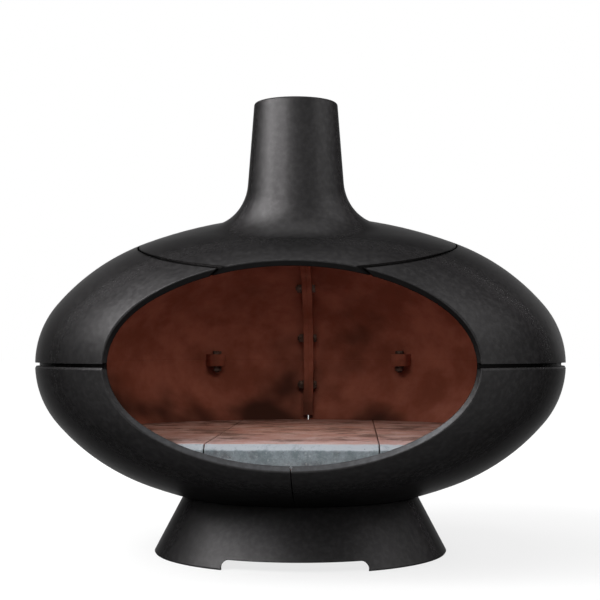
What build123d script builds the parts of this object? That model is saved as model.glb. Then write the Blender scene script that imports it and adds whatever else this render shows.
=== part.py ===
from build123d import *
from math import cos, hypot, radians, sin, sqrt
import os

# Outdoor oven in black enamelled cast iron, in millimetres.
# The body is a flattened round form turned about an upright axis, with a wide elliptical mouth.
# The mouth faces -Y, +Z is up and the oven stands on z = 0.

# Body: its section is an oval of three tangent arcs a quarter, at the waist, shoulder and crown
body_radius = 370.0
body_rise = 207.0
body_wall = 9.0
waist_height = 264.0
waist_arc_radius = 126.0
waist_arc_end = 40.0
shoulder_arc_end = 69.0

# Mouth: an upright plane cuts the body behind its foremost point, and the wall is trimmed square
mouth_inset = 80.0
rim_land = 1.6
rim_cut_depth = 14.0

# Groove round the waist, between the upper and the lower shells
groove_height = 4.6
groove_depth = 6.0
groove_chamfer_width = 1.6
groove_chamfer_height = 3.0

# Upright seam between left and right shells
seam_gap = 1.2
seam_notch = 3.2

# Hood and chimney, one casting, placed by their axes behind the mouth plane
hood_radius = 212.5
hood_setback = 196.0
hood_gap = 2.2
hood_corner_radius = 9.0
hood_skirt_height = 60.0
chimney_setback = 145.0
chimney_height = 606.0
chimney_top_radius = 54.5
chimney_taper = 0.079
chimney_rim_radius = 3.5
flare_radius = 64.0
flue_radius = 46.5
flue_bore_length = 40.0

# Seat under the edge of the hood, cast on the upper shells
seat_clearance = 0.3
seat_thickness = 6.0
seat_reach = 20.0
seat_root = 12.0
seat_overlap = 1.0
seat_front_setback = 34.0

# Flanges inside the upright seams, and the web under the hearth
flange_thickness = 8.0
flange_depth = 24.0
flange_bolt_inset = 13.0
flange_hearth_gap = 7.0
keel_bolt_offsets = (-190.0, -65.0, 65.0, 190.0)
back_bolt_height = 225.0
ridge_bolt_heights = (303.0, 383.0)

# Lugs inside the waist
lug_thickness = 10.0
lug_radius = 14.0
lug_bolt_inset = 15.0
lug_angles = (-38.0, 15.0, 64.0)

# Refractory hearth slabs
hearth_height = 168.0
slab_thickness = 30.0
slab_front_setback = 20.0
slab_chamfer = 7.0
slab_wall_clearance = 3.0
slab_edge_land = 4.0
slab_joint_gap = 1.5
centre_slab_width = 214.0
slab_seat_clearance = 0.3
rib_thickness = 12.0
outer_rib_offset = 220.0

# Conical base
base_foot_radius = 207.0
base_top_radius = 165.0
base_wall = 9.0
base_edge_chamfer = 2.0
base_flange_thickness = 9.0
base_flange_inner_radius = 104.0
base_flange_gap = 1.5
base_boss_radius = 14.0
base_boss_depth = 3.0
base_bolt_circle_radius = 130.0
base_bolt_angles = (60.0, 120.0, 240.0, 300.0)
gusset_count = 6
gusset_start_angle = 30.0
gusset_thickness = 6.0
gusset_foot = 25.0
arch_count = 3
arch_start_angle = 270.0
arch_foot_half_width = 101.0
arch_top_half_width = 89.0
arch_height = 13.0
arch_corner_radius = 9.0

# Fasteners
bolt_radius = 4.0
bolt_hole_radius = 4.5
bolt_head_flats = 13.0
bolt_head_height = 5.3
nut_height = 6.5
nut_bore_clearance = 0.1
washer_radius = 8.0
washer_thickness = 1.6
bolt_end = 2.5
stud_circle_inset = 9.0
stud_clearance = 0.1
stud_angles = (-20.0, 50.0, 130.0, 200.0)
stud_depth = 6.0
stud_boss_radius = 12.0
stud_boss_drop = 15.0


def section_arcs():
    """Centre, radius, start and end angle of the waist, shoulder and crown arcs above the waist."""
    waist_end = Vector(cos(radians(waist_arc_end)), sin(radians(waist_arc_end)))
    shoulder_end = Vector(cos(radians(shoulder_arc_end)), sin(radians(shoulder_arc_end)))
    waist_centre = Vector(body_radius - waist_arc_radius, 0)
    joint = waist_centre + waist_end * waist_arc_radius
    rest = body_rise - joint.Y
    turn = shoulder_end - waist_end
    divisor = turn.X * (1 - shoulder_end.Y) + shoulder_end.X * turn.Y
    shoulder_radius = (shoulder_end.X * rest - joint.X * (1 - shoulder_end.Y)) / divisor
    crown_radius = (turn.X * rest + turn.Y * joint.X) / divisor
    return [
        (waist_centre, waist_arc_radius, 0, waist_arc_end),
        (joint - waist_end * shoulder_radius, shoulder_radius, waist_arc_end, shoulder_arc_end),
        (Vector(0, body_rise - crown_radius), crown_radius, shoulder_arc_end, 90),
    ]


def rise_at(radius, inset):
    """Distance from the waist to the body's surface at a plan radius, for a surface at an inset."""
    for centre, arc_radius, _, end in section_arcs():
        if radius >= centre.X + (arc_radius - inset) * cos(radians(end)):
            break
    return centre.Y + sqrt((arc_radius - inset) ** 2 - (radius - centre.X) ** 2)


def radius_at(rise, inset):
    """Plan radius of the body's surface at a distance from the waist, for a surface at an inset."""
    for centre, arc_radius, _, end in section_arcs():
        if rise <= centre.Y + (arc_radius - inset) * sin(radians(end)):
            break
    return centre.X + sqrt((arc_radius - inset) ** 2 - (rise - centre.Y) ** 2)


# Places worked out from the sizes above
mouth_depth = body_radius - mouth_inset
hood_forward = mouth_depth - hood_setback
chimney_forward = mouth_depth - chimney_setback
axis_y = -mouth_inset / 2
mouth_y = axis_y - mouth_depth
hood_y = axis_y - hood_forward
chimney_y = axis_y - chimney_forward
mouth_half_width = sqrt(body_radius**2 - mouth_depth**2)
mouth_half_height = rise_at(mouth_depth, 0)
rim_side_slope = mouth_half_width / mouth_depth
rim_top_slope = 1 / (rise_at(mouth_depth - 1, 0) - mouth_half_height)
parting_height = waist_height + groove_height / 2
slab_bottom = hearth_height - slab_thickness
rib_top = slab_bottom - slab_seat_clearance
reach = 2 * body_radius
root_inset = body_wall / 2
groove_bottom = parting_height - groove_height
chamfer_slope = groove_chamfer_height / groove_chamfer_width
rib_centres = (
    -outer_rib_offset,
    -centre_slab_width / 2,
    centre_slab_width / 2,
    outer_rib_offset,
)
base_seat_height = waist_height - rise_at(base_top_radius, 0)
arch_angles = [arch_start_angle + 360 / arch_count * step for step in range(arch_count)]
gusset_angles = [gusset_start_angle + 360 / gusset_count * step for step in range(gusset_count)]
slab_rim_radius = (
    radius_at(waist_height - hearth_height, body_wall + slab_wall_clearance) - slab_edge_land
)

body_axis = Axis((0, axis_y, 0), (0, 0, 1))
chimney_axis = Axis((0, chimney_y, 0), (0, 0, 1))


def cross_section(y):
    """Upright plane across the oven, with local X to the right and local Y up."""
    return Plane(origin=(0, y, 0), x_dir=(1, 0, 0), z_dir=(0, -1, 0))


def radial_section(angle):
    """Upright plane through the body axis, with local X pointing outward and local Y up."""
    outward = Vector(cos(radians(angle)), sin(radians(angle)), 0)
    return Plane(origin=(0, axis_y, 0), x_dir=outward, z_dir=outward.cross(Vector(0, 0, 1)))


def outward_section(angle):
    """Upright plane on the body axis that faces outward, with local Y up."""
    outward = Vector(cos(radians(angle)), sin(radians(angle)), 0)
    return Plane(origin=(0, axis_y, 0), x_dir=Vector(0, 0, 1).cross(outward), z_dir=outward)


def level_plane(angle, radius, height):
    """Level plane at a plan angle and radius about the body axis, with local X pointing outward."""
    outward = Vector(cos(radians(angle)), sin(radians(angle)), 0)
    origin = outward * radius + Vector(0, axis_y, height)
    return Plane(origin=origin, x_dir=outward, z_dir=(0, 0, 1))


def seam_plane(offset, height):
    """Plane on the right face of the seam flanges, an offset behind the body axis, facing +X."""
    origin = (flange_thickness, axis_y + offset, height)
    return Plane(origin=origin, x_dir=(0, 1, 0), z_dir=(1, 0, 0))


def body_form(inset):
    """Solid whose surface lies the inset inside the body's outer surface."""
    with BuildPart() as form:
        with BuildSketch(cross_section(axis_y)):
            with BuildLine():
                for side in (1, -1):
                    for centre, arc_radius, start, end in section_arcs():
                        CenterArc(
                            (centre.X, waist_height + side * centre.Y),
                            arc_radius - inset,
                            side * start,
                            side * (end - start),
                        )
                bottom = waist_height - body_rise + inset
                Line((0, bottom), (0, waist_height + body_rise - inset))
            make_face()
        revolve(axis=body_axis)
    return form.part


def layer(outer_inset, inner_inset):
    """Skin of the body's form between two insets."""
    with BuildPart() as form:
        add(body_form(outer_inset))
        add(body_form(inner_inset), mode=Mode.SUBTRACT)
    return form.part


def body_and_chimney(inset, top_radius, flare):
    """Solid body with the tapered chimney on it and the flare blended between them."""
    root_height = waist_height + body_rise / 2
    root_radius = top_radius + chimney_taper * (chimney_height - root_height)
    with BuildPart() as form:
        add(body_form(inset))
        with BuildSketch(cross_section(chimney_y)):
            Polygon(
                (0, root_height),
                (root_radius, root_height),
                (top_radius, chimney_height),
                (0, chimney_height),
                align=None,
            )
        revolve(axis=chimney_axis)
        chimney_foot = [
            edge for edge in form.edges() if edge.geom_type not in (GeomType.CIRCLE, GeomType.LINE)
        ]
        fillet(chimney_foot, radius=flare)
    return form.part


def stud_plane(angle):
    """Level plane where a hood stud meets the underside of the hood."""
    circle = hood_radius - stud_circle_inset
    x = circle * cos(radians(angle))
    y = circle * sin(radians(angle)) - hood_forward
    height = waist_height + rise_at(hypot(x, y), body_wall)
    return Plane(origin=(x, axis_y + y, height), z_dir=(0, 0, 1))


def flange_bolt_plane(height):
    """Plane of a bolt through the seam flanges that follow the back wall."""
    offset = radius_at(abs(height - waist_height), body_wall + flange_bolt_inset)
    return seam_plane(offset, height)


def keel_bolt_plane(offset):
    """Plane of a bolt through the keel webs, midway between the floor of the body and the slabs."""
    floor = waist_height - rise_at(abs(offset), body_wall)
    return seam_plane(offset, (floor + slab_bottom) / 2)


# Where the fasteners go, each plane lying on the face that the bolt head is seated on
lower_boss_top = (
    waist_height
    - rise_at(base_bolt_circle_radius + base_boss_radius, body_wall)
    + base_boss_depth
)
base_flange_top = waist_height - rise_at(base_flange_inner_radius, 0) - base_flange_gap
base_flange_bottom = base_flange_top - base_flange_thickness
base_bolt_planes = [
    level_plane(angle, base_bolt_circle_radius, lower_boss_top) for angle in base_bolt_angles
]
waist_bolt_radius = body_radius - body_wall - lug_bolt_inset
waist_bolt_planes = [
    level_plane(angle, waist_bolt_radius, parting_height + lug_thickness)
    for side_angle in lug_angles
    for angle in (side_angle, 180 - side_angle)
]
keel_bolt_planes = [keel_bolt_plane(offset) for offset in keel_bolt_offsets]
keel_bolt_planes.append(flange_bolt_plane(back_bolt_height))
ridge_bolt_planes = [flange_bolt_plane(height) for height in ridge_bolt_heights]
stud_planes = [stud_plane(angle) for angle in stud_angles]

os.makedirs("parts", exist_ok=True)

# The whole iron skin, before it is parted into castings
with BuildPart() as skin:
    add(body_and_chimney(0, chimney_top_radius, flare_radius))
    chimney_rim = skin.edges().group_by(Axis.Z)[-1]
    fillet(chimney_rim, radius=chimney_rim_radius)
    add(
        body_and_chimney(
            body_wall,
            flue_radius - chimney_taper * flue_bore_length,
            flare_radius + body_wall,
        ),
        mode=Mode.SUBTRACT,
    )
    with BuildSketch(Plane.XY.offset(chimney_height)):
        with Locations((0, chimney_y)):
            Circle(flue_radius)
    extrude(amount=-flue_bore_length, mode=Mode.SUBTRACT)
    with BuildSketch(cross_section(mouth_y)):
        with Locations((0, waist_height)):
            Circle(body_radius)
    extrude(amount=body_radius, mode=Mode.SUBTRACT)
    with BuildSketch(cross_section(mouth_y)):
        with Locations((0, waist_height)):
            Ellipse(mouth_half_width - rim_land, mouth_half_height - rim_land)
    with BuildSketch(cross_section(mouth_y + rim_cut_depth)):
        with Locations((0, waist_height)):
            Ellipse(
                mouth_half_width - rim_land - rim_side_slope * rim_cut_depth,
                mouth_half_height - rim_land - rim_top_slope * rim_cut_depth,
            )
    loft(mode=Mode.SUBTRACT)

# Hood: the round cap over the front of the body, with the chimney drawn up out of it
with BuildPart() as hood:
    with BuildSketch(Plane.XY.offset(waist_height + hood_skirt_height)) as hood_plan:
        with Locations((0, hood_y)):
            Circle(hood_radius)
        with Locations((0, mouth_y + reach / 2)):
            Rectangle(reach, reach, mode=Mode.INTERSECT)
        fillet(hood_plan.vertices().group_by(Axis.Y)[0], radius=hood_corner_radius)
    extrude(amount=chimney_height)
    add(skin.part, mode=Mode.INTERSECT)
    with BuildSketch(*stud_planes):
        Circle(bolt_radius + stud_clearance)
    extrude(amount=stud_depth, both=True, mode=Mode.SUBTRACT)

# Seat ring under the hood, with a boss for each stud
with BuildPart() as seat:
    with BuildSketch(Plane.XY.offset(waist_height + hood_skirt_height)):
        with Locations((0, hood_y)):
            Circle(hood_radius + hood_gap + seat_root)
            Circle(hood_radius - seat_reach, mode=Mode.SUBTRACT)
    extrude(amount=chimney_height)
    add(
        layer(body_wall - seat_overlap, body_wall + seat_clearance + seat_thickness),
        mode=Mode.INTERSECT,
    )
    with BuildSketch(*[plane.offset(-stud_boss_drop) for plane in stud_planes]):
        Circle(stud_boss_radius)
    extrude(amount=2 * stud_boss_drop)
    add(body_form(root_inset), mode=Mode.INTERSECT)
    split(bisect_by=cross_section(mouth_y + seat_front_setback), keep=Keep.BOTTOM)

# Space for the hood above its seat, with the gap round its edge
with BuildPart() as hood_pocket:
    with BuildSketch(Plane.XY.offset(waist_height + hood_skirt_height)):
        with Locations((0, hood_y)):
            Circle(hood_radius + hood_gap)
    extrude(amount=chimney_height)
    add(body_form(body_wall + seat_clearance), mode=Mode.SUBTRACT)

# Lugs inside the waist, above and below the parting plane
with BuildPart() as waist_lugs:
    lug_root = lug_bolt_inset + root_inset
    with BuildSketch(*waist_bolt_planes):
        Circle(lug_radius)
        with Locations((lug_root / 2, 0)):
            Rectangle(lug_root, 2 * lug_radius)
    extrude(amount=-2 * lug_thickness)
    add(body_form(root_inset), mode=Mode.INTERSECT)
    with BuildSketch(*waist_bolt_planes):
        Circle(bolt_hole_radius)
    extrude(amount=-2 * lug_thickness, mode=Mode.SUBTRACT)

# Upper half of the body, before it is parted at the ridge
with BuildPart() as upper_half:
    add(skin.part)
    split(bisect_by=Plane.XY.offset(parting_height), keep=Keep.TOP)
    add(seat.part)
    add(hood_pocket.part, mode=Mode.SUBTRACT)
    with BuildSketch(*stud_planes):
        Circle(bolt_hole_radius)
    extrude(amount=stud_boss_drop, both=True, mode=Mode.SUBTRACT)

# Lower half of the body, before it is parted at the keel
with BuildPart() as hearth_ribs:
    for centre in rib_centres:
        with BuildSketch(Plane.YZ.offset(centre)):
            with Locations((axis_y, rib_top)):
                Rectangle(reach, body_rise, align=(Align.CENTER, Align.MAX))
        extrude(amount=rib_thickness / 2, both=True)
    with BuildSketch(*base_bolt_planes):
        Circle(base_boss_radius)
    extrude(amount=-body_rise)
    add(body_form(root_inset), mode=Mode.INTERSECT)
    split(bisect_by=cross_section(mouth_y + body_wall), keep=Keep.BOTTOM)

with BuildPart() as lower_half:
    add(skin.part)
    with BuildSketch(cross_section(axis_y)):
        Polygon(
            (body_radius - groove_depth, parting_height),
            (reach, parting_height),
            (reach, groove_bottom - chamfer_slope * (reach - body_radius + groove_chamfer_width)),
            (body_radius - groove_chamfer_width, groove_bottom),
            (body_radius - groove_depth, groove_bottom),
            align=None,
        )
    revolve(axis=body_axis, mode=Mode.SUBTRACT)
    split(bisect_by=Plane.XY.offset(parting_height), keep=Keep.BOTTOM)
    add(hearth_ribs.part)
    with BuildSketch(*base_bolt_planes):
        Circle(bolt_hole_radius)
    extrude(amount=-body_rise, mode=Mode.SUBTRACT)
    with BuildSketch(cross_section(mouth_y + rim_cut_depth)):
        with Locations((0, waist_height - mouth_half_height + rim_top_slope * body_wall / 2)):
            Rectangle(seam_notch, seam_notch, rotation=45)
    extrude(amount=2 * rim_cut_depth, mode=Mode.SUBTRACT)

# The four shells: each half of the body is parted in two, and each piece gets its seam flange
flange_layer = layer(body_wall - seat_overlap, body_wall + flange_depth)
sides = {"left": -1, "right": 1}
for side, sign in sides.items():
    seam_side = Keep.TOP if sign > 0 else Keep.BOTTOM

    with BuildPart() as ridge_flange:
        with BuildSketch(Plane.YZ):
            with Locations((axis_y + hood_radius + hood_gap - hood_forward, parting_height)):
                Rectangle(reach, body_rise, align=(Align.MIN, Align.MIN))
        extrude(amount=sign * flange_thickness)
        add(flange_layer, mode=Mode.INTERSECT)

    with BuildPart() as upper_shell:
        add(upper_half.part)
        add(waist_lugs.part)
        split(bisect_by=Plane.XY.offset(parting_height), keep=Keep.TOP)
        split(bisect_by=Plane.YZ.offset(sign * seam_gap / 2), keep=seam_side)
        add(ridge_flange.part)
        with BuildSketch(*ridge_bolt_planes):
            Circle(bolt_hole_radius)
        extrude(amount=-2 * flange_thickness, mode=Mode.SUBTRACT)
    upper_shell.part.label = f"upper_shell_{side}"
    export_step(upper_shell.part, f"parts/upper_shell_{side}.step")

    with BuildPart() as keel_web:
        with BuildSketch(Plane.YZ):
            with Locations((axis_y, rib_top)):
                Rectangle(reach, body_rise, align=(Align.CENTER, Align.MAX))
        extrude(amount=sign * flange_thickness)
        add(body_form(body_wall - seat_overlap), mode=Mode.INTERSECT)
        split(bisect_by=cross_section(mouth_y + body_wall), keep=Keep.BOTTOM)

    # The flange behind the hearth stands clear of the slab's way up
    with BuildPart() as back_flange:
        with BuildSketch(Plane.YZ):
            with Locations((axis_y, parting_height)):
                Rectangle(
                    reach,
                    parting_height - hearth_height - flange_hearth_gap,
                    align=(Align.MIN, Align.MAX),
                )
        extrude(amount=sign * flange_thickness)
        add(flange_layer, mode=Mode.INTERSECT)
        with BuildSketch(Plane.XY.offset(slab_bottom)):
            with Locations((0, axis_y)):
                Circle(slab_rim_radius + slab_wall_clearance)
        extrude(amount=body_rise, mode=Mode.SUBTRACT)

    with BuildPart() as lower_shell:
        add(lower_half.part)
        add(waist_lugs.part)
        split(bisect_by=Plane.XY.offset(parting_height), keep=Keep.BOTTOM)
        split(bisect_by=Plane.YZ.offset(sign * seam_gap / 2), keep=seam_side)
        add(keel_web.part)
        add(back_flange.part)
        with BuildSketch(*keel_bolt_planes):
            Circle(bolt_hole_radius)
        extrude(amount=-2 * flange_thickness, mode=Mode.SUBTRACT)
    lower_shell.part.label = f"lower_shell_{side}"
    export_step(lower_shell.part, f"parts/lower_shell_{side}.step")

hood.part.label = "hood"
export_step(hood.part, "parts/hood.step")

# Base: a hollow cone under the body, with a level top flange and arched gaps between its feet
base_slope = (base_foot_radius - base_top_radius) / base_seat_height
base_blank_radius = base_foot_radius - base_slope * waist_height / 2
with BuildPart() as base:
    with BuildSketch(cross_section(axis_y)) as skirt_section:
        Polygon(
            (base_foot_radius - base_wall, 0),
            (base_foot_radius, 0),
            (base_blank_radius, waist_height / 2),
            (base_blank_radius - base_wall, waist_height / 2),
            align=None,
        )
        foot_corner = skirt_section.vertices().group_by(Axis.Z)[0].sort_by(Axis.X)[-1]
        chamfer(foot_corner, base_edge_chamfer)
    revolve(axis=body_axis)
    for angle in gusset_angles:
        with BuildSketch(radial_section(angle)):
            foot_radius = base_foot_radius - base_wall / 2 - base_slope * gusset_foot
            Polygon(
                (foot_radius, gusset_foot),
                (base_flange_inner_radius + base_wall, base_flange_bottom - base_wall),
                (base_flange_inner_radius + base_wall, base_flange_bottom),
                (
                    base_foot_radius - base_wall / 2 - base_slope * base_flange_bottom,
                    base_flange_bottom,
                ),
                align=None,
            )
        extrude(amount=gusset_thickness / 2, both=True)
    with BuildSketch(Plane.XY.offset(base_flange_bottom)):
        with Locations((0, axis_y)):
            Circle(base_top_radius)
            Circle(base_flange_inner_radius, mode=Mode.SUBTRACT)
    extrude(amount=base_flange_thickness)
    with BuildSketch(*[plane.offset(base_flange_top - lower_boss_top) for plane in base_bolt_planes]):
        Circle(base_boss_radius)
    extrude(amount=base_flange_thickness)
    add(body_form(-seat_clearance), mode=Mode.SUBTRACT)
    with BuildSketch(*base_bolt_planes):
        Circle(bolt_hole_radius)
    extrude(amount=-waist_height / 2, mode=Mode.SUBTRACT)
    for angle in arch_angles:
        with BuildSketch(outward_section(angle)) as arch:
            drop = arch_height / 2
            spread = (arch_foot_half_width - arch_top_half_width) * drop / arch_height
            Polygon(
                (-arch_foot_half_width - spread, -drop),
                (arch_foot_half_width + spread, -drop),
                (arch_top_half_width, arch_height),
                (-arch_top_half_width, arch_height),
                align=None,
            )
            fillet(arch.vertices().group_by(Axis.Z)[-1], radius=arch_corner_radius)
        extrude(amount=reach, mode=Mode.SUBTRACT)
base.part.label = "base"
export_step(base.part, "parts/base.step")

# Hearth: loose refractory slabs, moulded to follow the wall
slab_cuts = (
    -body_radius,
    -centre_slab_width / 2,
    centre_slab_width / 2,
    body_radius,
)
for name, start, end in zip(("left", "centre", "right"), slab_cuts, slab_cuts[1:]):
    with BuildPart() as slab:
        with BuildSketch(Plane.XY.offset(slab_bottom)):
            with Locations(((start + end) / 2, mouth_y + slab_front_setback)):
                Rectangle(end - start - slab_joint_gap, reach, align=(Align.CENTER, Align.MIN))
        extrude(amount=slab_thickness)
        front_edge = slab.edges().filter_by(Axis.X).group_by(Axis.Y)[0].sort_by(Axis.Z)[-1]
        chamfer(front_edge, length=slab_chamfer)
        add(body_form(body_wall + slab_wall_clearance), mode=Mode.INTERSECT)
        with BuildSketch(Plane.XY.offset(slab_bottom)):
            with Locations((0, axis_y)):
                Circle(slab_rim_radius)
        extrude(amount=slab_thickness, mode=Mode.INTERSECT)
    slab.part.label = f"hearth_slab_{name}"
    export_step(slab.part, f"parts/hearth_slab_{name}.step")

# Fasteners: hexagon bolts with a washer and a nut each, grouped by the joint that they hold
bolt_sets = {
    "base": (base_bolt_planes, lower_boss_top - base_flange_bottom),
    "waist": (waist_bolt_planes, 2 * lug_thickness),
    "keel": (keel_bolt_planes, 2 * flange_thickness),
    "ridge": (ridge_bolt_planes, 2 * flange_thickness),
}
for name, (planes, grip) in bolt_sets.items():
    with BuildPart() as bolts:
        with BuildSketch(*planes):
            RegularPolygon(bolt_head_flats / 2, 6, major_radius=False)
        extrude(amount=bolt_head_height)
        with BuildSketch(*planes):
            Circle(bolt_radius)
        extrude(amount=-grip - washer_thickness - nut_height - bolt_end)
    bolts.part.label = f"{name}_bolts"
    export_step(bolts.part, f"parts/{name}_bolts.step")

with BuildPart() as studs:
    with BuildSketch(*[plane.offset(stud_depth) for plane in stud_planes]):
        Circle(bolt_radius)
    extrude(amount=-stud_depth - stud_boss_drop - washer_thickness - nut_height - bolt_end)
studs.part.label = "hood_studs"
export_step(studs.part, "parts/hood_studs.step")

nut_sets = {**bolt_sets, "hood": (stud_planes, stud_boss_drop)}
for name, (planes, grip) in nut_sets.items():
    under_planes = [plane.offset(-grip) for plane in planes]
    with BuildPart() as washers:
        with BuildSketch(*under_planes):
            Circle(washer_radius)
            Circle(bolt_hole_radius, mode=Mode.SUBTRACT)
        extrude(amount=-washer_thickness)
    washers.part.label = f"{name}_washers"
    export_step(washers.part, f"parts/{name}_washers.step")

    with BuildPart() as nuts:
        with BuildSketch(*[plane.offset(-washer_thickness) for plane in under_planes]):
            RegularPolygon(bolt_head_flats / 2, 6, major_radius=False)
            Circle(bolt_radius + nut_bore_clearance, mode=Mode.SUBTRACT)
        extrude(amount=-nut_height)
    nuts.part.label = f"{name}_nuts"
    export_step(nuts.part, f"parts/{name}_nuts.step")
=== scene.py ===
"""Dresses the cast iron outdoor oven: enamel, refractory and fasteners, with its studio and camera."""

import logging
import math
from dataclasses import dataclass, field
from enum import Enum
from typing import Callable, Sequence, Union

import bmesh
import bpy
from mathutils import Matrix, Vector


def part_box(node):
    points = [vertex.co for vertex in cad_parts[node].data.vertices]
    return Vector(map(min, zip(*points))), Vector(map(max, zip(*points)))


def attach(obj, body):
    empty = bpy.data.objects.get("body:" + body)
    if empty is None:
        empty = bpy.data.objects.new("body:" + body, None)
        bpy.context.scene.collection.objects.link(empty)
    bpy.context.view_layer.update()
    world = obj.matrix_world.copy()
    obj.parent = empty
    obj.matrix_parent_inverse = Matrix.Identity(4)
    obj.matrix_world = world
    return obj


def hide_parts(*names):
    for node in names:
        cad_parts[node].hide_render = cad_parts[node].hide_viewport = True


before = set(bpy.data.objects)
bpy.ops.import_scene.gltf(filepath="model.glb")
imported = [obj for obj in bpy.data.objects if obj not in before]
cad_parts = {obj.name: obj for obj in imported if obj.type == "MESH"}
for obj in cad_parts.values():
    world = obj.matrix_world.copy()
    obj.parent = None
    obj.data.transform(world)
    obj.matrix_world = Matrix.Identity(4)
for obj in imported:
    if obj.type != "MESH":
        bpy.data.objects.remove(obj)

log = logging.getLogger("oven")

Colour = tuple[float, float, float]
Point = tuple[float, float, float]
Span = tuple[float, float]
Number = Union[float, "Value"]
Ring = list[bmesh.types.BMVert]

MM = 0.001
WHITE: Colour = (1.0, 1.0, 1.0)


class Shader:
    """The node tree of one material or world, written through a few short methods."""

    def __init__(self, tree: bpy.types.NodeTree) -> None:
        """Start from an empty tree.

        Args:
            tree: The node tree to fill.
        """
        self.tree = tree
        tree.nodes.clear()

    def node(
        self,
        kind: str,
        settings: dict[str, object] | None = None,
        inputs: dict[str | int, object] | None = None,
    ) -> bpy.types.Node:
        """Add a node.

        Args:
            kind: The node's type name.
            settings: Properties set before anything is linked.
            inputs: Values or links of the sockets, by name or by number.

        Returns:
            The new node.
        """
        made = self.tree.nodes.new(kind)
        for key, value in (settings or {}).items():
            setattr(made, key, value)
        for key, value in (inputs or {}).items():
            self.feed(made.inputs[key], value)
        return made

    def feed(self, socket: bpy.types.NodeSocket, value: object) -> None:
        """Set a socket to a constant, or link it to a value or a socket.

        Args:
            socket: The input socket.
            value: A number, colour, vector, Value or output socket.
        """
        if isinstance(value, Value):
            self.tree.links.new(value.socket, socket)
        elif isinstance(value, bpy.types.NodeSocket):
            self.tree.links.new(value, socket)
        elif socket.type == "RGBA" and len(value) == 3:
            socket.default_value = (*value, 1.0)
        else:
            socket.default_value = value

    def maths(self, operation: str, *terms: Number) -> "Value":
        """Add a Math node on numbers.

        Args:
            operation: The node's operation.
            terms: Its two or three inputs.

        Returns:
            The result.
        """
        made = self.node("ShaderNodeMath", {"operation": operation}, dict(enumerate(terms)))
        return Value(self, made.outputs[0])

    def vector(self, operation: str, *terms: object) -> bpy.types.Node:
        """Add a Vector Math node.

        Args:
            operation: The node's operation.
            terms: Its vectors.

        Returns:
            The node.
        """
        return self.node("ShaderNodeVectorMath", {"operation": operation}, dict(enumerate(terms)))

    def parts(self, place: object) -> tuple["Value", "Value", "Value"]:
        """Return the three coordinates of a place."""
        split = self.node("ShaderNodeSeparateXYZ", None, {0: place})
        return self.value(split, 0), self.value(split, 1), self.value(split, 2)

    def value(self, node: bpy.types.Node, output: str | int = 0) -> "Value":
        """Return a node's output as a Value."""
        return Value(self, node.outputs[output])

    def mix(self, low: object, high: object, share: Number) -> bpy.types.NodeSocket:
        """Mix two colours.

        Args:
            low: The colour at a share of 0.
            high: The colour at a share of 1.
            share: How much of the second colour shows.

        Returns:
            The mixed colour's socket.
        """
        made = self.node("ShaderNodeMix", {"data_type": "RGBA"})
        factor, first, second = (made.inputs[i] for i in (0, 6, 7))
        self.feed(factor, share)
        self.feed(first, low)
        self.feed(second, high)
        return made.outputs[2]

    def blend(
        self, share: Number, low: bpy.types.NodeSocket, high: bpy.types.NodeSocket
    ) -> bpy.types.NodeSocket:
        """Mix two surfaces.

        Args:
            share: How much of the second surface shows.
            low: The surface at a share of 0.
            high: The surface at a share of 1.

        Returns:
            The mixed surface's socket.
        """
        return self.node("ShaderNodeMixShader", None, {0: share, 1: low, 2: high}).outputs[0]

    def place(self) -> bpy.types.NodeSocket:
        """Return the place on the object, in metres of the row frame."""
        return self.node("ShaderNodeTexCoord").outputs["Object"]

    def noise(
        self, place: object, size: float, detail: float = 2.0, roughness: float = 0.5
    ) -> "Value":
        """Add smooth noise about 0.5.

        Args:
            place: The coordinates.
            size: Width of one blot, in metres.
            detail: Octaves of finer noise.
            roughness: Strength of the finer noise.

        Returns:
            The noise.
        """
        inputs = {"Vector": place, "Scale": 1 / size, "Detail": detail, "Roughness": roughness}
        return self.value(self.node("ShaderNodeTexNoise", {"noise_dimensions": "3D"}, inputs))

    def cells(self, place: object, size: float) -> "Value":
        """Add the distance to the middle of the nearest cell of a pattern.

        Args:
            place: The coordinates.
            size: Width of one cell, in metres.

        Returns:
            The distance, in widths of a cell.
        """
        inputs = {"Vector": place, "Scale": 1 / size}
        return self.value(self.node("ShaderNodeTexVoronoi", None, inputs), "Distance")

    def step(self, value: "Value", low: float, high: float) -> "Value":
        """Ease from 0 to 1 as a value goes from low to high, or back if low is the larger.

        Args:
            value: The value.
            low: Where the result is 0.
            high: Where the result is 1.

        Returns:
            The eased value.
        """
        start, end = min(low, high), max(low, high)
        first, last = (1.0, 0.0) if low > high else (0.0, 1.0)
        inputs = {"Value": value, "From Min": start, "From Max": end, "To Min": first, "To Max": last}
        made = self.node("ShaderNodeMapRange", {"interpolation_type": "SMOOTHSTEP"}, inputs)
        return self.value(made)

    def bump(self, height: Number, depth: float, normal: object | None = None) -> bpy.types.NodeSocket:
        """Add a Bump node.

        Args:
            height: The relief, from 0 to 1.
            depth: The relief's full depth, in metres.
            normal: The normal that it is laid on.

        Returns:
            The bumped normal.
        """
        inputs = {"Height": height, "Distance": depth, "Strength": 1.0}
        if normal is not None:
            inputs["Normal"] = normal
        return self.node("ShaderNodeBump", None, inputs).outputs["Normal"]

    def rounded(self, radius: float) -> bpy.types.NodeSocket:
        """Return the normal with each edge rounded to a radius in metres."""
        return self.node("ShaderNodeBevel", {"samples": 6}, {"Radius": radius}).outputs["Normal"]

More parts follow.
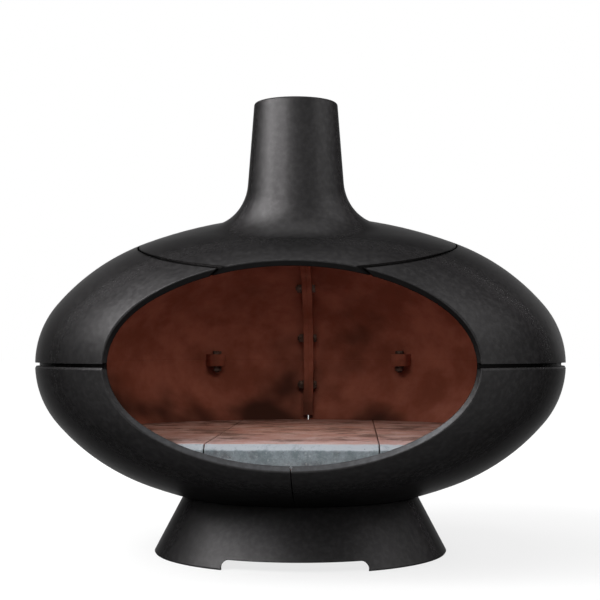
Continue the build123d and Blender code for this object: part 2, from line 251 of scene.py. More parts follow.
    def off_edge(self, rounded: bpy.types.NodeSocket, low: float, high: float) -> "Value":
        """Return 1 on the edges and 0 away from them.

        Args:
            rounded: The normal with its edges rounded.
            low: How far it turns off the surface's own normal where the edge begins.
            high: How far where the edge is full.

        Returns:
            The mask.
        """
        own = self.node("ShaderNodeNewGeometry").outputs["Normal"]
        turned = self.vector("DOT_PRODUCT", rounded, own).outputs["Value"]
        return self.step(1.0 - Value(self, turned), low, high)


@dataclass(frozen=True)
class Value:
    """A number that varies over a surface: arithmetic on it adds Math nodes to its shader."""

    shader: Shader
    socket: bpy.types.NodeSocket

    def __add__(self, other: Number) -> "Value":
        """Add."""
        return self.shader.maths("ADD", self, other)

    __radd__ = __add__

    def __sub__(self, other: Number) -> "Value":
        """Subtract."""
        return self.shader.maths("SUBTRACT", self, other)

    def __rsub__(self, other: Number) -> "Value":
        """Subtract from a number."""
        return self.shader.maths("SUBTRACT", other, self)

    def __mul__(self, other: Number) -> "Value":
        """Multiply."""
        return self.shader.maths("MULTIPLY", self, other)

    __rmul__ = __mul__

    def __truediv__(self, other: Number) -> "Value":
        """Divide."""
        return self.shader.maths("DIVIDE", self, other)

    def __pow__(self, other: Number) -> "Value":
        """Raise to a power."""
        return self.shader.maths("POWER", self, other)

    def size(self) -> "Value":
        """Return the size without its sign."""
        return self.shader.maths("ABSOLUTE", self)

    def most(self, other: Number) -> "Value":
        """Return the larger of the two."""
        return self.shader.maths("MAXIMUM", self, other)


@dataclass(frozen=True)
class BodyForm:
    """The oven's flattened round body, from which the finishes tell outside from inside."""

    axis_y: float
    mouth_y: float
    waist: float
    radius: float
    rise: float
    wall: float
    hood_y: float
    hood_seam: float

    @classmethod
    def from_frame(cls) -> "BodyForm":
        """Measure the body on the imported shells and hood.

        Returns:
            The body's form.
        """
        low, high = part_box("lower_shell_right")
        hood_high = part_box("hood")[1]
        half_gap = 1.1 * MM
        return cls(
            axis_y=high.y - high.x,
            mouth_y=low.y,
            waist=264 * MM,
            radius=high.x,
            rise=207 * MM,
            wall=9 * MM,
            hood_y=hood_high.y - hood_high.x,
            hood_seam=hood_high.x + half_gap,
        )

    def depth(self, shader: Shader, place: object) -> Value:
        """Return how far outside (above 1) or inside (below 1) of mid-wall a place lies.

        Args:
            shader: The shader that the nodes are added to.
            place: The coordinates.

        Returns:
            The depth, which is 1 at mid-wall.
        """
        x, y, z = shader.parts(place)
        y, z = y - self.axis_y, z - self.waist
        half_wall = self.wall / 2
        across = (x * x + y * y) / (self.radius - half_wall) ** 2
        return across + z * z / (self.rise - half_wall) ** 2

    def facing_out(self, shader: Shader, place: object) -> Value:
        """Return how far a surface faces away from the middle of the body, from -1 to 1.

        Args:
            shader: The shader that the nodes are added to.
            place: The coordinates.

        Returns:
            The cosine of the angle to the way out.
        """
        away = shader.vector("SUBTRACT", place, (0.0, self.axis_y, self.waist)).outputs[0]
        direction = shader.vector("NORMALIZE", away).outputs[0]
        own = shader.node("ShaderNodeNewGeometry").outputs["Normal"]
        return shader.value(shader.vector("DOT_PRODUCT", direction, own), "Value")

    def off_hood_seam(self, shader: Shader, place: object) -> Value:
        """Return the plan distance outside the middle of the gap round the hood, in metres.

        Args:
            shader: The shader that the nodes are added to.
            place: The coordinates.

        Returns:
            The distance, below 0 on the hood.
        """
        x, y, _ = shader.parts(place)
        y = y - self.hood_y
        return (x * x + y * y) ** 0.5 - self.hood_seam

    def above_waist(self, shader: Shader, place: object) -> Value:
        """Return the height above the waist, in metres."""
        return shader.parts(place)[2] - self.waist

    def behind_mouth(self, shader: Shader, place: object) -> Value:
        """Return the distance behind the plane of the mouth, in metres."""
        return shader.parts(place)[1] - self.mouth_y


def new_material(name: str) -> tuple[bpy.types.Material, Shader]:
    """Make an empty material.

    Args:
        name: The material's name.

    Returns:
        The material and the shader that writes its nodes.
    """
    material = bpy.data.materials.new(name)
    material.use_nodes = True
    return material, Shader(material.node_tree)


def close_material(shader: Shader, surface: bpy.types.NodeSocket) -> None:
    """Link a surface to the material's output."""
    shader.node("ShaderNodeOutputMaterial", None, {"Surface": surface})


@dataclass(frozen=True)
class EnamelledIron:
    """Matt black enamel on sand-cast iron. Inside the body it turns to a rusty scorch, reddened as
    painted firelight. Its joints carry painted shade and its lower lip painted light.

    The spans are where a mask starts and where it is full: depths as BodyForm measures them, and
    distances in metres.
    """

    body: BodyForm
    name: str = "black_enamel_on_iron"
    enamel: Colour = (0.0194, 0.0188, 0.0191)
    enamel_worn: Colour = (0.0262, 0.0255, 0.0258)
    edge_wear: Colour = (0.040, 0.039, 0.040)
    # Painted light, partly rubbed bare iron: the lower lip's lighter colour.
    rubbed_and_painted_light: Colour = (0.052, 0.053, 0.056)
    # Painted shade: the near-black colour laid in the waist groove, the gap round the hood and under
    # the upper lip.
    painted_joint_shade: Colour = (0.0045, 0.0042, 0.0042)
    # Painted firelight: the reddish inner colours stand in for a fire's glow on a rusty, scorched wall.
    scorch_and_firelight: Colour = (0.25, 0.095, 0.068)
    scorch_and_firelight_pale: Colour = (0.40, 0.17, 0.13)
    soot: Colour = (0.06, 0.030, 0.024)
    grazing_tint: Colour = (0.38, 0.38, 0.38)
    specular_level: float = 0.16
    grain_size: float = 1.8 * MM
    peel_size: float = 6 * MM
    wear_size: float = 7 * MM
    edge_wear_size: float = 11 * MM
    blot_size: float = 70 * MM
    casting_wave: float = 90 * MM
    soot_size: float = 160 * MM
    relief: float = 0.12 * MM
    wave_height: float = 0.5 * MM
    edge_radius: float = 1.6 * MM
    gloss: float = 0.42
    scorched_gloss: float = 0.82
    outer_facing: Span = (0.3, 0.6)
    outer_depth: Span = (0.92, 0.94)
    inner_depth: Span = (0.985, 0.978)
    inner_behind_mouth: Span = (0.009, 0.012)
    lip_depth: Span = (1.022, 1.012)
    lip_behind_mouth: Span = (0.018, 0.013)
    sill_height: Span = (-0.03, -0.09)
    brow_height: Span = (-0.01, 0.05)
    groove_depth: Span = (1.017, 1.011)
    groove_half_height: Span = (0.0045, 0.0032)
    seam_half_width: Span = (0.0030, 0.0018)
    seam_height: Span = (0.05, 0.08)

    def build(self) -> bpy.types.Material:
        """Build the material.

        Returns:
            The material.
        """
        material, shader = new_material(self.name)
        place = shader.place()
        grain = shader.noise(place, self.grain_size, 3.0, 0.6)
        worn = shader.step(shader.noise(place, self.wear_size, 4.0, 0.6), 0.35, 0.75)
        rounded = shader.rounded(self.edge_radius)
        inside = self._inner_side(shader, place)
        colour = self._enamel_colour(shader, place, worn, rounded)
        surface = shader.node(
            "ShaderNodeBsdfPrincipled",
            None,
            {
                "Base Color": shader.mix(colour, self._scorch_colour(shader, place), inside),
                "Roughness": self.gloss
                + worn * 0.02
                + (grain - 0.5) * 0.16
                + inside * (self.scorched_gloss - self.gloss),
                "Metallic": 1.0 - inside,
                "Specular IOR Level": self.specular_level,
                "Specular Tint": self.grazing_tint,
                "Normal": self._normal(shader, place, grain, rounded),
            },
        )
        close_material(shader, surface.outputs[0])
        return material

    def _inner_side(self, shader: Shader, place: object) -> Value:
        """Return 1 on the surfaces inside the body and 0 on the others.

        Args:
            shader: The shader that the nodes are added to.
            place: The coordinates.

        Returns:
            The mask.
        """
        depth = self.body.depth(shader, place)
        outward = shader.step(self.body.facing_out(shader, place), *self.outer_facing)
        outward = outward * shader.step(depth, *self.outer_depth)
        behind = shader.step(self.body.behind_mouth(shader, place), *self.inner_behind_mouth)
        return shader.step(depth, *self.inner_depth) * behind * (1.0 - outward)

    def _enamel_colour(
        self, shader: Shader, place: object, worn: Value, rounded: bpy.types.NodeSocket
    ) -> bpy.types.NodeSocket:
        """Colour the enamel, worn on its edges, lightened on the sill as rubbed iron and painted light,
        and darkened with painted shade in its joints and under its brow.

        Args:
            shader: The material's shader.
            place: The coordinates.
            worn: How worn the enamel is.
            rounded: The normal with its edges rounded.

        Returns:
            The colour.
        """
        height = self.body.above_waist(shader, place)
        depth = self.body.depth(shader, place)
        behind = self.body.behind_mouth(shader, place)
        lip = shader.step(depth, *self.lip_depth) * shader.step(behind, *self.lip_behind_mouth)
        # Painted light, partly rubbed bare iron: the lower lip is lightened.
        sill_wear_and_light = lip * shader.step(height, *self.sill_height)
        # Painted shade: the upper lip of the mouth is darkened.
        brow_shade = lip * shader.step(height, *self.brow_height)
        # Painted shade: the waist groove and the gap round the hood are darkened.
        groove_shade = shader.step(depth, *self.groove_depth)
        groove_shade = groove_shade * shader.step(height.size(), *self.groove_half_height)
        off_seam = self.body.off_hood_seam(shader, place).size()
        seam_shade = shader.step(off_seam, *self.seam_half_width) * shader.step(height, *self.seam_height)
        edge_wear = shader.step(shader.noise(place, self.edge_wear_size, 3.0), 0.3, 0.6)
        edge = shader.off_edge(rounded, 0.02, 0.2) * edge_wear
        colour = shader.mix(self.enamel, self.enamel_worn, worn)
        colour = shader.mix(colour, self.edge_wear, edge * 0.7)
        colour = shader.mix(colour, self.rubbed_and_painted_light, sill_wear_and_light * (0.5 + worn * 0.5))
        return shader.mix(colour, self.painted_joint_shade, groove_shade.most(seam_shade).most(brow_shade * 0.8))

    def _scorch_colour(self, shader: Shader, place: object) -> bpy.types.NodeSocket:
        """Return the inner side's colour: a rusty scorch, reddened and brightened as painted firelight.

        Args:
            shader: The shader that the nodes are added to.
            place: The coordinates.

        Returns:
            The colour.
        """
        blots = shader.noise(place, self.blot_size, 4.0, 0.6)
        sooty = shader.step(shader.noise(place, self.soot_size, 3.0), 0.45, 0.7)
        # Painted firelight: the red-brown scorch colours stand in for a fire's glow on the inner wall.
        scorch_and_firelight = shader.mix(self.scorch_and_firelight, self.scorch_and_firelight_pale, shader.step(blots, 0.35, 0.7))
        return shader.mix(scorch_and_firelight, self.soot, sooty)

    def _normal(
        self, shader: Shader, place: object, grain: Value, rounded: bpy.types.NodeSocket
    ) -> bpy.types.NodeSocket:
        """Lay the sand grain, the enamel's peel and the casting's waves on the surface.

        Args:
            shader: The material's shader.
            place: The coordinates.
            grain: The sand grain.
            rounded: The normal with its edges rounded.

        Returns:
            The bumped normal.
        """
        peel = shader.noise(place, self.peel_size, 2.0)
        wave = shader.noise(place, self.casting_wave, 1.0)
        normal = shader.bump(grain * 0.5 + peel * 0.5, self.relief, rounded)
        return shader.bump(wave, self.wave_height, normal)


@dataclass(frozen=True)
class Refractory:
    """Cast refractory of the hearth slabs: grey grog with pores, a top chamfer lightened as painted
    light, and a scorched top.
    """

    front: float
    top: float
    name: str = "cast_refractory"
    chamfer: float = 7 * MM
    paste: Colour = (0.138, 0.166, 0.180)
    paste_pale: Colour = (0.225, 0.262, 0.280)
    # Painted light: the lighter grey of the slabs' top chamfer, as if lit from above.
    edge: Colour = (0.29, 0.315, 0.34)
    grog: Colour = (0.34, 0.36, 0.37)
    pore: Colour = (0.05, 0.05, 0.052)
    stain: Colour = (0.085, 0.088, 0.095)
    scorched: Colour = (0.33, 0.200, 0.185)
    scorched_pale: Colour = (0.41, 0.32, 0.315)
    soot: Colour = (0.10, 0.062, 0.052)
    grain_size: float = 1.6 * MM
    speckle_size: float = 3.5 * MM
    grog_size: float = 5.5 * MM
    chip_size: float = 6 * MM
    pore_spacing: float = 7.5 * MM
    cloud_size: float = 22 * MM
    scorch_size: float = 40 * MM
    stain_size: float = 45 * MM
    soot_size: float = 70 * MM
    ragged: float = 12 * MM
    relief: float = 0.9 * MM
    edge_radius: float = 2.5 * MM

    @classmethod
    def from_frame(cls) -> "Refractory":
        """Measure the slabs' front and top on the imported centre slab."""
        low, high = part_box("hearth_slab_centre")
        return cls(front=low.y, top=high.z)

    def build(self) -> bpy.types.Material:
        """Build the material.

        Returns:
            The material.
        """
        material, shader = new_material(self.name)
        place = shader.place()
        _, y, z = shader.parts(place)
        y, z = y - self.front, z - self.top
        cloud = shader.noise(place, self.cloud_size, 6.0, 0.7)
        grain = shader.noise(place, self.grain_size, 3.0, 0.7)
        speckle = shader.noise(place, self.speckle_size, 4.0, 0.75)
        pores = self._pores(shader, place, cloud)
        ragged = (cloud - 0.5) * self.ragged
        edge = shader.step(z + ragged, -self.chamfer * 1.3, -self.chamfer * 0.8)
        # Painted light: the chamfer along the top edge takes a lighter copy of the paste colour.
        painted_edge_light = edge * shader.step(speckle * 0.6 + cloud * 0.4, 0.25, 0.5)
        behind = shader.step(y + ragged * 2.0, self.chamfer * 0.9, self.chamfer * 2.2)
        colour = self._paste_colour(shader, place, cloud, speckle)
        colour = shader.mix(colour, self.edge, painted_edge_light)
        colour = shader.mix(colour, self._scorch_colour(shader, place, y, speckle), behind * edge)
        height = grain * 0.3 + speckle * 0.4 + cloud * 0.5 - pores
        surface = shader.node(
            "ShaderNodeBsdfPrincipled",
            None,
            {
                "Base Color": shader.mix(colour, self.pore, pores * 0.8),
                "Roughness": 0.86 + grain * 0.1,
                "Specular IOR Level": 0.25,
                "Normal": shader.bump(height, self.relief, shader.rounded(self.edge_radius)),
            },
        )
        close_material(shader, surface.outputs[0])
        return material

    def _pores(self, shader: Shader, place: object, cloud: Value) -> Value:
        """Return 1 in the pores and chips and 0 between them.

        Args:
            shader: The shader that the nodes are added to.
            place: The coordinates.
            cloud: The wide cloudiness.

        Returns:
            The mask.
        """
        chips = shader.step(shader.noise(place, self.chip_size, 5.0, 0.8), 0.66, 0.72)
        pores = shader.step(shader.cells(place, self.pore_spacing), 0.12, 0.06)
        return (pores * shader.step(cloud, 0.5, 0.6)).most(chips)

    def _paste_colour(
        self, shader: Shader, place: object, cloud: Value, speckle: Value
    ) -> bpy.types.NodeSocket:
        """Colour the paste, with its stains and its grog.

        Args:
            shader: The material's shader.
            place: The coordinates.
            cloud: The wide cloudiness.
            speckle: The fine speckle.

        Returns:
            The colour.
        """
        grog = shader.step(shader.cells(place, self.grog_size), 0.30, 0.16)
        grog = grog * shader.step(speckle, 0.4, 0.6)
        stains = shader.step(shader.noise(place, self.stain_size, 5.0, 0.7), 0.54, 0.68)
        pale = shader.step(cloud * 0.6 + speckle * 0.4, 0.38, 0.62)
        colour = shader.mix(self.paste, self.paste_pale, pale)
        colour = shader.mix(colour, self.stain, stains * 0.8)
        return shader.mix(colour, self.grog, grog * 0.55)

    def _scorch_colour(
        self, shader: Shader, place: object, y: Value, speckle: Value
    ) -> bpy.types.NodeSocket:
        """Colour the scorched top.

        Args:
            shader: The material's shader.
            place: The coordinates.
            y: The distance behind the slabs' front.
            speckle: The fine speckle.

        Returns:
            The colour.
        """
        blots = shader.noise(place, self.scorch_size, 5.0, 0.7) * 0.7 + speckle * 0.3
        sooty = shader.step(shader.noise(place, self.soot_size, 5.0, 0.7), 0.46, 0.62)
        sooty = sooty * shader.step(y, 0.005, 0.05) * 0.85
        colour = shader.mix(self.scorched, self.scorched_pale, shader.step(blots, 0.42, 0.6))
        return shader.mix(colour, self.soot, sooty)


@dataclass(frozen=True)
class ZincSteel:
    """Zinc-plated steel of the fasteners, dulled by heat and sooted inside the body."""

    body: BodyForm
    name: str = "zinc_plated_steel"
    zinc: Colour = (0.42, 0.41, 0.39)
    tarnish: Colour = (0.17, 0.14, 0.12)
    soot: Colour = (0.055, 0.036, 0.030)
    blot_size: float = 6 * MM
    scratch_size: float = 0.7 * MM
    scratch_depth: float = 0.03 * MM
    sooted_depth: Span = (1.02, 0.96)

    def build(self) -> bpy.types.Material:
        """Build the material.

        Returns:
            The material.
        """
        material, shader = new_material(self.name)
        place = shader.place()
        scratches = shader.noise(place, self.scratch_size, 2.0)
        dull = shader.step(shader.noise(place, self.blot_size, 4.0, 0.6), 0.4, 0.7)
        sooted = shader.step(self.body.depth(shader, place), *self.sooted_depth)
        sooted = sooted * (0.8 + dull * 0.2)
        zinc = shader.mix(self.zinc, self.tarnish, dull)
        surface = shader.node(
            "ShaderNodeBsdfPrincipled",
            None,
            {
                "Base Color": shader.mix(zinc, self.soot, sooted),
                "Metallic": 1.0 - sooted * 0.85,
                "Roughness": 0.34 + dull * 0.25 + scratches * 0.08 + sooted * 0.3,
                "Normal": shader.bump(scratches, self.scratch_depth),
            },
        )
        close_material(shader, surface.outputs[0])
        return material


def seen_rays(shader: Shader) -> Value:
    """Return 1 for rays that show a thing to the camera, straight or in a gloss, or else 0.

    Args:
        shader: The shader that the nodes are added to.

    Returns:
        The mask.
    """
    rays = shader.node("ShaderNodeLightPath")
    seen = shader.value(rays, "Is Camera Ray").most(shader.value(rays, "Is Glossy Ray"))
    return seen.most(shader.value(rays, "Is Transmission Ray"))


@dataclass
class Softbox:
    """A rectangular studio lamp: its power in watts, and its beam's spread in degrees."""

    name: str
    centre: Point
    aim: Point
    size: tuple[float, float]
    power: float
    colour: Colour = WHITE
    spread: float = 180.0

    def build(self) -> None:
        """Hang the lamp and turn it towards its aim."""
        lamp = bpy.data.lights.new(self.name, "AREA")
        lamp.shape = "RECTANGLE"
        lamp.size, lamp.size_y = self.size
        lamp.energy = self.power
        lamp.color = self.colour
        lamp.spread = math.radians(self.spread)
        holder = bpy.data.objects.new(self.name, lamp)
        holder.location = self.centre
        beam = Vector(self.aim) - Vector(self.centre)
        holder.rotation_euler = beam.to_track_quat("-Z", "Y").to_euler()
        bpy.context.scene.collection.objects.link(holder)


@dataclass
class Studio:
    """Pale floor, white surroundings, softboxes and the camera of the photo's view.

    Lengths are in metres, the lens and its sensor in millimetres, powers in watts and angles in
    degrees. The floor is lifted towards white where it is seen, less so near the oven, where its
    shadow lies.
    """

    aim: Point = (0.0, -0.1, 0.26)
    floor_half: float = 30.0
    floor_colour: Colour = (0.15, 0.15, 0.15)
    floor_lift_near: float = 0.78
    floor_lift_far: float = 1.0
    floor_lift_reach: Span = (0.45, 1.6)
    ambient: float = 0.05
    camera_place: Point = (0.0755, -1.888, 0.2835)
    camera_turn: float = 2.38
    lens: float = 78.0
    sensor: float = 36.0
    shift_up: float = 0.083
    shift_right: float = 0.0008

    def build(self) -> None:
        """Build the whole studio."""
        self._floor()
        self._surroundings()
        self._camera()
        for lamp in self._lamps():
            lamp.build()

    def _lamps(self) -> list[Softbox]:
        """Set out the softboxes: the wide ones, two narrow ones on the chimney and one inside.

        Returns:
            The softboxes.
        """
        wide = [
            ("key_left_high", (-1.7, -0.6, 1.7), (1.5, 1.5), 86.0),
            ("front_left_high", (-1.2, -1.8, 1.7), (1.2, 1.2), 34.0),
            ("front", (0.0, -2.6, 1.0), (1.6, 1.0), 4.0),
            ("top", (0.0, -0.1, 2.3), (1.5, 1.5), 17.0),
            ("rear_left", (-1.5, 1.0, 1.9), (1.4, 1.4), 20.0),
            ("rear_right", (1.5, 1.0, 1.9), (1.4, 1.4), 14.0),
            ("rim_right", (1.6, 1.2, 1.0), (1.4, 1.4), 10.0),
            ("key_right_high", (1.7, -0.4, 1.7), (1.5, 1.5), 15.0),
            ("fill_right", (2.0, -1.0, 0.7), (1.4, 1.4), 5.0),
        ]
        narrow = [
            ("chimney_left", (-1.7, -1.0, 1.0), (-0.05, -0.18, 0.53), 0.55),
            ("chimney_front_left", (-0.95, -1.7, 1.0), (-0.02, -0.18, 0.53), 0.35),
        ]
        lamps = [Softbox(name, centre, self.aim, size, power) for name, centre, size, power in wide]
        for name, centre, aim, power in narrow:
            lamps.append(Softbox(name, centre, aim, (0.7, 0.5), power, spread=24.0))
        crown, hearth = (0.0, -0.06, 0.448), (0.0, -0.06, 0.17)
        lamps.append(Softbox("under_crown", crown, hearth, (0.22, 0.16), 0.6, (1.0, 0.74, 0.58)))
        return lamps

    def _floor(self) -> None:
        """Lay the floor."""
        half = self.floor_half
        mesh = bpy.data.meshes.new("floor")
        corners = [(-half, -half, 0), (half, -half, 0), (half, half, 0), (-half, half, 0)]
        mesh.from_pydata(corners, [], [(0, 1, 2, 3)])
        floor = bpy.data.objects.new("floor", mesh)
        bpy.context.scene.collection.objects.link(floor)
        material, shader = new_material("pale_floor")
        paint = shader.node("ShaderNodeBsdfDiffuse", None, {"Color": self.floor_colour}).outputs[0]
        from_middle = shader.value(shader.vector("LENGTH", shader.place()), "Value")
        far = shader.step(from_middle, *self.floor_lift_reach)
        near_lift, far_lift = (
            shader.node("ShaderNodeEmission", None, {"Color": WHITE, "Strength": strength}).outputs[0]
            for strength in (self.floor_lift_near, self.floor_lift_far)
        )
        lift = shader.blend(far, near_lift, far_lift)
        lifted = shader.node("ShaderNodeAddShader", None, {0: paint, 1: lift}).outputs[0]
        close_material(shader, shader.blend(seen_rays(shader), paint, lifted))
        mesh.materials.append(material)

    def _surroundings(self) -> None:
        """Make the world white where it is seen, and dim where it only lights the object."""
        world = bpy.data.worlds.new("studio")
        bpy.context.scene.world = world
        world.use_nodes = True
        shader = Shader(world.node_tree)
        light, white = (
            shader.node("ShaderNodeBackground", None, {"Color": WHITE, "Strength": strength}).outputs[0]
            for strength in (self.ambient, 1.0)
        )
        mixed = shader.blend(seen_rays(shader), light, white)
        shader.node("ShaderNodeOutputWorld", None, {"Surface": mixed})

    def _camera(self) -> None:
        """Set up the camera that stands where the photo was taken."""
        data = bpy.data.cameras.new("photo_view")
        data.lens = self.lens
        data.sensor_width = self.sensor
        data.shift_x = self.shift_right
        data.shift_y = self.shift_up
        camera = bpy.data.objects.new("photo_view", data)
        turn = Matrix.Rotation(math.radians(self.camera_turn), 4, "Z")
        level = Matrix.Rotation(math.radians(90), 4, "X")
        camera.matrix_world = Matrix.Translation(self.camera_place) @ turn @ level
        bpy.context.scene.collection.objects.link(camera)
        bpy.context.scene.camera = camera


@dataclass
class Castings:
    """The enamelled iron castings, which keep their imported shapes."""

    nodes: tuple[str, ...] = (
        "base",
        "lower_shell_left",
        "lower_shell_right",
        "upper_shell_left",
        "upper_shell_right",
        "hood",
    )

    def dress(self, finish: bpy.types.Material) -> None:
        """Give each casting its finish.

        Args:
            finish: The enamel.
        """
        for node in self.nodes:
            paint_node(node, finish)
            log.info("%s: enamelled", node)


class Axis(Enum):
    """Ways that a fastener's axis runs, from its nut to its head."""

    UP = "Z"
    ACROSS = "X"

    def local(self, point: Vector) -> Vector:
        """Turn a place on the oven so that the axis is its third coordinate."""
        return point.copy() if self is Axis.UP else Vector((point.y, point.z, point.x))

    def world(self, point: Vector) -> Vector:
        """Turn a place back."""
        return point.copy() if self is Axis.UP else Vector((point.z, point.x, point.y))


@dataclass(frozen=True)
class Seat:
    """Where one packed fastener sits: its axis line, its two ends and one of its corners' angle."""

    x: float
    y: float
    low: float
    high: float
    corner: float


def find_seats(node: str, axis: Axis, spacing: float = 0.03) -> list[Seat]:
    """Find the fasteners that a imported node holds.

    Args:
        node: The node's name.
        axis: The way that its fasteners run.
        spacing: Least distance between two of them.

    Returns:
        One seat for each.
    """
    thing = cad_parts[node]
    groups: list[list[Vector]] = []
    for vertex in thing.data.vertices:
        point = axis.local(thing.matrix_world @ vertex.co)
        for group in groups:
            if (group[0].xy - point.xy).length < spacing:
                group.append(point)
                break
        else:
            groups.append([point])
    seats = []
    for group in groups:
        ends = [(min(p[i] for p in group), max(p[i] for p in group)) for i in range(3)]
        x, y = (sum(ends[i]) / 2 for i in range(2))
        corner = max(group, key=lambda p: (p.x - x) ** 2 + (p.y - y) ** 2)
        seats.append(Seat(x, y, *ends[2], math.atan2(corner.y - y, corner.x - x)))
    return seats


@dataclass
class Turning:
    """Collects the rings of one turned or six-sided form after another in a single mesh."""

    axis: Axis
    sides: int = 48
    sharp_angle: float = 28.0
    mesh: bmesh.types.BMesh = field(default_factory=bmesh.new)

    def loop(self, seat: Seat, height: float, radius: Callable[[float], float]) -> Ring:
        """Add a ring of points.

        Args:
            seat: The fastener's place.
            height: The ring's distance above the seat's low end.
            radius: The ring's radius at an angle from a corner of the hexagon.

        Returns:
            The ring.
        """
        ring = []
        for step in range(self.sides):
            angle = math.tau * step / self.sides
            reach = radius(angle)
            spot = Vector(
                (
                    seat.x + reach * math.cos(seat.corner + angle),
                    seat.y + reach * math.sin(seat.corner + angle),
                    seat.low + height,
                )
            )
            ring.append(self.mesh.verts.new(self.axis.world(spot)))
        return ring

    def skin(self, rings: list[Ring], closed: bool) -> None:
        """Join rings into a surface.

        Args:
            rings: The rings in order.
            closed: Whether the last ring joins the first; otherwise both ends are capped.
        """
        for lower, upper in zip(rings, rings[1:] + rings[:1] if closed else rings[1:]):
            for i in range(self.sides):
                j = (i + 1) % self.sides
                self.mesh.faces.new((lower[i], lower[j], upper[j], upper[i]))
        if not closed:
            self.mesh.faces.new(rings[0][::-1])
            self.mesh.faces.new(rings[-1])

    def turn(self, seat: Seat, profile: Sequence[tuple[float, float]], closed: bool = False) -> None:
        """Add a round form.

        Args:
            seat: The fastener's place.
            profile: Radius and height of each ring.
            closed: Whether the profile closes on itself, as a washer's does.
        """
        rings = [self.loop(seat, height, lambda _, r=radius: r) for radius, height in profile]
        self.skin(rings, closed)

    def finish(self, name: str, node: str, material: bpy.types.Material) -> bpy.types.Object:
        """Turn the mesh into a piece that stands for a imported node.

        Args:
            name: The piece's name.
            node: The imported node.
            material: The piece's finish.

        Returns:
            The piece.
        """
        bmesh.ops.recalc_face_normals(self.mesh, faces=self.mesh.faces)
        mesh = bpy.data.meshes.new(name)
        self.mesh.to_mesh(mesh)
        self.mesh.free()
        mesh.materials.append(material)
        mesh.shade_smooth()
        piece = bpy.data.objects.new(name, mesh)
        bpy.context.scene.collection.objects.link(piece)
        sharp = piece.modifiers.new("sharp_edges", "EDGE_SPLIT")
        sharp.split_angle = math.radians(self.sharp_angle)
        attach(piece, "oven")
        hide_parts(node)
        return piece


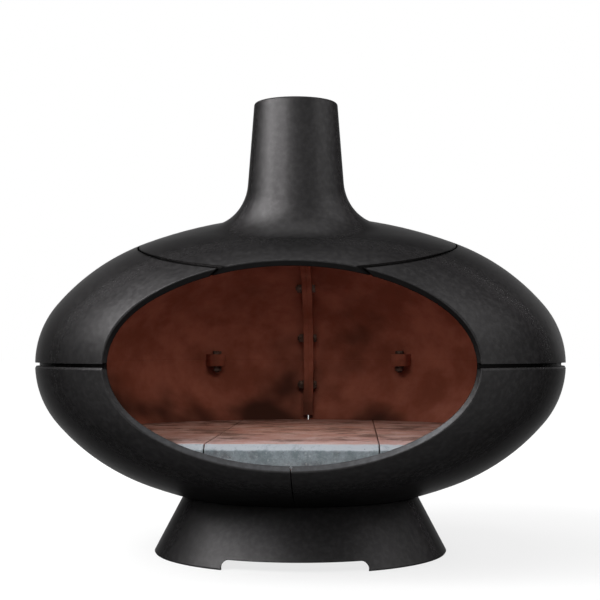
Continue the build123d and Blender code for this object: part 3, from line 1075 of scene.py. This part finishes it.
@dataclass
class Fasteners:
    """M8 bolts, studs, nuts and washers of one joint, with chamfered hexagons and rolled threads.

    The shares are of the hexagon's width across its flats: the radius of the raised bearing face
    under a bolt's head, those of the dish in its top, and that of the flat inside an end's chamfer.
    """

    joint: str
    axis: Axis
    studs: bool = False
    flats: float = 13.0 * MM
    head: float = 5.3 * MM
    shank: float = 4.0 * MM
    pitch: float = 1.25 * MM
    thread_depth: float = 0.62 * MM
    thread_length: float = 13.0 * MM
    bore: float = 4.1 * MM
    washer_bore: float = 4.2 * MM
    washer_rim: float = 8.0 * MM
    steps_per_turn: int = 20
    bearing_share: float = 0.46
    dish_shares: Span = (0.36, 0.33)
    flat_share: float = 0.475
    chamfer_angle: float = 30.0
    lead_in: float = 0.5 * MM

    def build(self, finish: bpy.types.Material) -> None:
        """Build the joint's three pieces.

        Args:
            finish: The steel.
        """
        shaft = "studs" if self.studs else "bolts"
        kinds = (
            (shaft, f"threaded_{shaft}", self._shaft),
            ("nuts", "hex_nuts", self._nut),
            ("washers", "plain_washers", self._washer),
        )
        for kind, looks, add in kinds:
            turning = Turning(self.axis)
            for seat in find_seats(f"{self.joint}_{kind}", self.axis):
                add(turning, seat)
            turning.finish(f"{self.joint}_{looks}", f"{self.joint}_{kind}", finish)
        log.info("%s joint: %s, nuts and washers", self.joint, shaft)

    def _hexagon(self, angle: float) -> float:
        """Return the hexagon's radius at an angle from a corner."""
        turned = (angle % math.radians(60)) - math.radians(30)
        return self.flats / 2 / math.cos(turned)

    def _chamfered(self, drop: float) -> Callable[[float], float]:
        """Return the radius at an angle where the end chamfer has gone down by a drop."""
        cone = self.flats * self.flat_share + drop / math.tan(math.radians(self.chamfer_angle))
        return lambda angle: min(self._hexagon(angle), cone)

    def _chamfer_rings(self, turning: Turning, seat: Seat, end: float, inward: int) -> list[Ring]:
        """Return the rings of a chamfered end, from its flat to the full hexagon.

        Args:
            turning: The mesh under work.
            seat: The fastener's place.
            end: The end's distance above the seat's low end.
            inward: 1 where the form lies above the end, and -1 where it lies below.

        Returns:
            The rings.
        """
        drops = [0.0, 0.12 * MM, 0.25 * MM, 0.4 * MM, 0.6 * MM]
        return [turning.loop(seat, end + inward * drop, self._chamfered(drop)) for drop in drops]

    def _shaft(self, turning: Turning, seat: Seat) -> None:
        """Add one bolt or stud.

        Args:
            turning: The mesh under work.
            seat: The fastener's place.
        """
        length = seat.high - seat.low
        shoulder = length if self.studs else length - self.head
        core = self.shank - self.thread_depth
        thread_top = self.thread_length
        turning.turn(
            seat,
            [
                (core - self.lead_in, 0.0),
                (core, self.lead_in),
                (core, thread_top),
                (self.shank, thread_top + 0.7 * MM),
                (self.shank, shoulder - 0.4 * MM),
                (self.shank - (0.4 * MM if self.studs else 0.0), shoulder),
            ],
        )
        self._thread(turning, seat, core, thread_top)
        if not self.studs:
            bearing, dish, dish_floor = (
                lambda _, reach=self.flats * share: reach
                for share in (self.bearing_share, *self.dish_shares)
            )
            rings = [turning.loop(seat, shoulder, bearing)]
            rings.append(turning.loop(seat, shoulder + 0.25 * MM, bearing))
            rings.append(turning.loop(seat, shoulder + 0.3 * MM, self._hexagon))
            rings += self._chamfer_rings(turning, seat, length, -1)[::-1]
            rings.append(turning.loop(seat, length, dish))
            rings.append(turning.loop(seat, length - 0.25 * MM, dish_floor))
            turning.skin(rings, closed=False)

    def _thread(self, turning: Turning, seat: Seat, core: float, top: float) -> None:
        """Wind the thread's ridge round the core, tapering in at its start and its end.

        Args:
            turning: The mesh under work.
            seat: The fastener's place.
            core: The radius under the thread.
            top: The thread's length.
        """
        steps = int((top - 1.2 * self.pitch) / self.pitch * self.steps_per_turn)
        previous: Ring = []
        for step in range(steps + 1):
            angle = math.tau * step / self.steps_per_turn
            rise = 0.1 * self.pitch + self.pitch * step / self.steps_per_turn
            fade = min(1.0, step / self.steps_per_turn, (steps - step) / self.steps_per_turn)
            crest = core + self.thread_depth * fade
            section = []
            for radius, offset in ((core, 0.0), (crest, 0.38), (crest, 0.52), (core, 0.9)):
                spot = Vector(
                    (
                        seat.x + radius * math.cos(angle),
                        seat.y + radius * math.sin(angle),
                        seat.low + rise + offset * self.pitch,
                    )
                )
                section.append(turning.mesh.verts.new(turning.axis.world(spot)))
            for i in range(3 if previous else 0):
                turning.mesh.faces.new((previous[i], section[i], section[i + 1], previous[i + 1]))
            previous = section

    def _nut(self, turning: Turning, seat: Seat) -> None:
        """Add one nut.

        Args:
            turning: The mesh under work.
            seat: The fastener's place.
        """
        height = seat.high - seat.low
        rings = self._chamfer_rings(turning, seat, 0.0, 1)
        rings += self._chamfer_rings(turning, seat, height, -1)[::-1]
        rings.append(turning.loop(seat, height, lambda _: self.bore + self.lead_in))
        rings.append(turning.loop(seat, height - self.lead_in, lambda _: self.bore))
        rings.append(turning.loop(seat, self.lead_in, lambda _: self.bore))
        rings.append(turning.loop(seat, 0.0, lambda _: self.bore + self.lead_in))
        turning.skin(rings, closed=True)

    def _washer(self, turning: Turning, seat: Seat) -> None:
        """Add one washer, its punched edge rounded on the upper side.

        Args:
            turning: The mesh under work.
            seat: The fastener's place.
        """
        thickness = seat.high - seat.low
        rim = self.washer_rim
        profile = [
            (self.washer_bore, 0.15 * MM),
            (self.washer_bore + 0.15 * MM, 0.0),
            (rim - 0.15 * MM, 0.0),
            (rim, 0.15 * MM),
            (rim, thickness - 0.4 * MM),
            (rim - 0.12 * MM, thickness - 0.12 * MM),
            (rim - 0.4 * MM, thickness),
            (self.washer_bore + 0.2 * MM, thickness),
            (self.washer_bore, thickness - 0.2 * MM),
        ]
        turning.turn(seat, profile, closed=True)


@dataclass
class Hearth:
    """The loose refractory slabs."""

    nodes: tuple[str, ...] = ("hearth_slab_left", "hearth_slab_centre", "hearth_slab_right")

    def dress(self, finish: bpy.types.Material) -> None:
        """Give each slab its finish.

        Args:
            finish: The refractory.
        """
        for node in self.nodes:
            paint_node(node, finish)
            log.info("%s: laid", node)


def paint_node(node: str, finish: bpy.types.Material) -> None:
    """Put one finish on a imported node.

    Args:
        node: The node's name.
        finish: The material.
    """
    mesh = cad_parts[node].data
    mesh.materials.clear()
    mesh.materials.append(finish)


def set_view() -> None:
    """Show colours as they are written."""
    bpy.context.scene.view_settings.view_transform = "Standard"


def main() -> None:
    """Build the oven's finishes and its studio, and report each piece."""
    logging.basicConfig(level=logging.INFO, format="%(name)s: %(message)s")
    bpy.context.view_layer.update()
    set_view()
    body = BodyForm.from_frame()
    Castings().dress(EnamelledIron(body).build())
    Hearth().dress(Refractory.from_frame().build())
    steel = ZincSteel(body).build()
    for joint in (
        Fasteners("base", Axis.UP),
        Fasteners("waist", Axis.UP),
        Fasteners("keel", Axis.ACROSS),
        Fasteners("ridge", Axis.ACROSS),
        Fasteners("hood", Axis.UP, studs=True),
    ):
        joint.build(steel)
    Studio().build()


if __name__ == "__main__":
    main()
